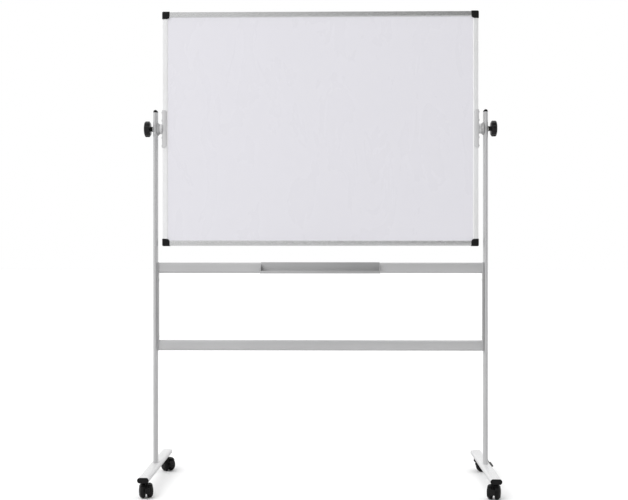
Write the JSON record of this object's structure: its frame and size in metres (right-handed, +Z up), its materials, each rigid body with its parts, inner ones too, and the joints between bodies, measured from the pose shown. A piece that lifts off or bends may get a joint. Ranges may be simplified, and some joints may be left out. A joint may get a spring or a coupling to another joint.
{
  "type": "rolling whiteboard",
  "caption": "Double-sided whiteboard in an aluminium frame that revolves between two posts on a wheeled steel stand with crossbars, clamping knobs and a pen tray.",
  "frame": {"origin": "on the floor, midway between the posts and midway between the front and rear ends of the feet", "axes": "+X to the right seen from the front, -Y to the front, +Z up"},
  "size_m": [1.3618, 0.5813, 1.7945],
  "materials": {
    "writing_sheet": "glossy white lacquer on steel",
    "board_core": "paper honeycomb",
    "rail_aluminium": "satin anodised",
    "black_plastic": "moulded, slightly grained",
    "silver_paint": "silver-grey powder coat",
    "zinc_steel": "zinc plated",
    "post_paint": "silver-grey powder coat",
    "foot_paint": "light grey gloss paint",
    "plate_paint": "silver-grey powder coat",
    "tray_paint": "darker grey powder coat",
    "disc_metal": "cast, satin",
    "knob_plastic": "moulded, semi-gloss",
    "wheel_nylon": "hard nylon",
    "hood_nylon": "moulded nylon"
  },
  "bodies": {
    "stand": {"post_left": "post_paint", "post_right": "post_paint", "post_cap_left": "black_plastic", "post_cap_right": "black_plastic", "friction_disc_left": "disc_metal", "friction_disc_right": "disc_metal", "foot_left": "foot_paint", "foot_right": "foot_paint", "foot_caps": "black_plastic", "crossbar_upper": "post_paint", "crossbar_lower": "post_paint", "crossbar_plate_left": "plate_paint", "crossbar_plate_right": "plate_paint", "crossbar_screws": "zinc_steel", "post_inserts": "zinc_steel", "foot_bolts": "zinc_steel", "caster_stems": "zinc_steel", "caster_inserts": "zinc_steel"},
    "board": {"writing_sheet_front": "writing_sheet", "writing_sheet_rear": "writing_sheet", "board_core": "board_core", "frame_rail_top": "rail_aluminium", "frame_rail_bottom": "rail_aluminium", "frame_rail_left": "rail_aluminium", "frame_rail_right": "rail_aluminium", "corner_cap_top_left": "black_plastic", "corner_cap_top_right": "black_plastic", "corner_cap_bottom_left": "black_plastic", "corner_cap_bottom_right": "black_plastic", "pivot_bracket_left": "silver_paint", "pivot_bracket_right": "silver_paint", "bracket_screws": "zinc_steel", "pivot_stud_left": "zinc_steel", "pivot_stud_right": "zinc_steel"},
    "tray": {"pen_tray": "tray_paint"},
    "washer_left": {"knob_washer_left": "zinc_steel"},
    "knob_left": {"knob_left": "knob_plastic"},
    "washer_right": {"knob_washer_right": "zinc_steel"},
    "knob_right": {"knob_right": "knob_plastic"},
    "caster_front_left": {"caster_hood_front_left": "hood_nylon", "caster_axle_front_left": "zinc_steel"},
    "wheel_a_front_left": {"caster_wheel_a_front_left": "wheel_nylon"},
    "wheel_b_front_left": {"caster_wheel_b_front_left": "wheel_nylon"},
    "pedal_front_left": {"caster_pedal_front_left": "hood_nylon"},
    "caster_front_right": {"caster_hood_front_right": "hood_nylon", "caster_axle_front_right": "zinc_steel"},
    "wheel_a_front_right": {"caster_wheel_a_front_right": "wheel_nylon"},
    "wheel_b_front_right": {"caster_wheel_b_front_right": "wheel_nylon"},
    "pedal_front_right": {"caster_pedal_front_right": "hood_nylon"},
    "caster_rear_left": {"caster_hood_rear_left": "hood_nylon", "caster_axle_rear_left": "zinc_steel"},
    "wheel_a_rear_left": {"caster_wheel_a_rear_left": "wheel_nylon"},
    "wheel_b_rear_left": {"caster_wheel_b_rear_left": "wheel_nylon"},
    "pedal_rear_left": {"caster_pedal_rear_left": "hood_nylon"},
    "caster_rear_right": {"caster_hood_rear_right": "hood_nylon", "caster_axle_rear_right": "zinc_steel"},
    "wheel_a_rear_right": {"caster_wheel_a_rear_right": "wheel_nylon"},
    "wheel_b_rear_right": {"caster_wheel_b_rear_right": "wheel_nylon"},
    "pedal_rear_right": {"caster_pedal_rear_right": "hood_nylon"}
  },
  "joints": [
    {"name": "board_revolve", "type": "hinge", "parent": "stand", "child": "board", "pos_m": [0, 0, 1.348], "axis": [1, 0, 0], "continuous": true},
    {"name": "tray_lift", "type": "slide", "parent": "stand", "child": "tray", "axis": [0, 0, 1], "range_m": [0, 0.045]},
    {"name": "washer_left_slide", "type": "slide", "parent": "stand", "child": "washer_left", "axis": [-1, 0, 0], "range_m": [0, 0.0025]},
    {"name": "knob_left_turn", "type": "hinge", "parent": "washer_left", "child": "knob_left", "pos_m": [-0.655, 0, 1.348], "axis": [-1, 0, 0], "range_deg": [0, 720]},
    {"name": "washer_right_slide", "type": "slide", "parent": "stand", "child": "washer_right", "axis": [1, 0, 0], "range_m": [0, 0.0025]},
    {"name": "knob_right_turn", "type": "hinge", "parent": "washer_right", "child": "knob_right", "pos_m": [0.655, 0, 1.348], "axis": [1, 0, 0], "range_deg": [0, 720]},
    {"name": "swivel_front_left", "type": "hinge", "parent": "stand", "child": "caster_front_left", "pos_m": [-0.628, -0.236, 0.05], "axis": [0, 0, 1], "continuous": true},
    {"name": "roll_a_front_left", "type": "hinge", "parent": "caster_front_left", "child": "wheel_a_front_left", "pos_m": [-0.61979, -0.25855, 0.025], "axis": [0.9397, 0.342, 0], "continuous": true},
    {"name": "roll_b_front_left", "type": "hinge", "parent": "caster_front_left", "child": "wheel_b_front_left", "pos_m": [-0.61979, -0.25855, 0.025], "axis": [0.9397, 0.342, 0], "continuous": true},
    {"name": "pedal_front_left_tip", "type": "hinge", "parent": "caster_front_left", "child": "pedal_front_left", "pos_m": [-0.61455, -0.27295, 0.03786], "axis": [0.9397, 0.342, 0], "range_deg": [0, 12]},
    {"name": "swivel_front_right", "type": "hinge", "parent": "stand", "child": "caster_front_right", "pos_m": [0.628, -0.236, 0.05], "axis": [0, 0, 1], "continuous": true},
    {"name": "roll_a_front_right", "type": "hinge", "parent": "caster_front_right", "child": "wheel_a_front_right", "pos_m": [0.62179, -0.25918, 0.025], "axis": [0.9659, -0.2588, 0], "continuous": true},
    {"name": "roll_b_front_right", "type": "hinge", "parent": "caster_front_right", "child": "wheel_b_front_right", "pos_m": [0.62179, -0.25918, 0.025], "axis": [0.9659, -0.2588, 0], "continuous": true},
    {"name": "pedal_front_right_tip", "type": "hinge", "parent": "caster_front_right", "child": "pedal_front_right", "pos_m": [0.61782, -0.27398, 0.03786], "axis": [0.9659, -0.2588, 0], "range_deg": [0, 12]},
    {"name": "swivel_rear_left", "type": "hinge", "parent": "stand", "child": "caster_rear_left", "pos_m": [-0.628, 0.236, 0.05], "axis": [0, 0, 1], "continuous": true},
    {"name": "roll_a_rear_left", "type": "hinge", "parent": "caster_rear_left", "child": "wheel_a_rear_left", "pos_m": [-0.61423, 0.21634, 0.025], "axis": [0.8192, 0.5736, 0], "continuous": true},
    {"name": "roll_b_rear_left", "type": "hinge", "parent": "caster_rear_left", "child": "wheel_b_rear_left", "pos_m": [-0.61423, 0.21634, 0.025], "axis": [0.8192, 0.5736, 0], "continuous": true},
    {"name": "pedal_rear_left_tip", "type": "hinge", "parent": "caster_rear_left", "child": "pedal_rear_left", "pos_m": [-0.60545, 0.20379, 0.03786], "axis": [0.8192, 0.5736, 0], "range_deg": [0, 12]},
    {"name": "swivel_rear_right", "type": "hinge", "parent": "stand", "child": "caster_rear_right", "pos_m": [0.628, 0.236, 0.05], "axis": [0, 0, 1], "continuous": true},
    {"name": "roll_a_rear_right", "type": "hinge", "parent": "caster_rear_right", "child": "wheel_a_rear_right", "pos_m": [0.64919, 0.22473, 0.025], "axis": [0.4695, 0.8829, 0], "continuous": true},
    {"name": "roll_b_rear_right", "type": "hinge", "parent": "caster_rear_right", "child": "wheel_b_rear_right", "pos_m": [0.64919, 0.22473, 0.025], "axis": [0.4695, 0.8829, 0], "continuous": true},
    {"name": "pedal_rear_right_tip", "type": "hinge", "parent": "caster_rear_right", "child": "pedal_rear_right", "pos_m": [0.66272, 0.21754, 0.03786], "axis": [0.4695, 0.8829, 0], "range_deg": [0, 12]}
  ],
  "couplings": [
    {"joint": "washer_left_slide", "follows": "knob_left_turn", "m_per_rad": 0.00019894},
    {"joint": "washer_right_slide", "follows": "knob_right_turn", "m_per_rad": 0.00019894}
  ]
}
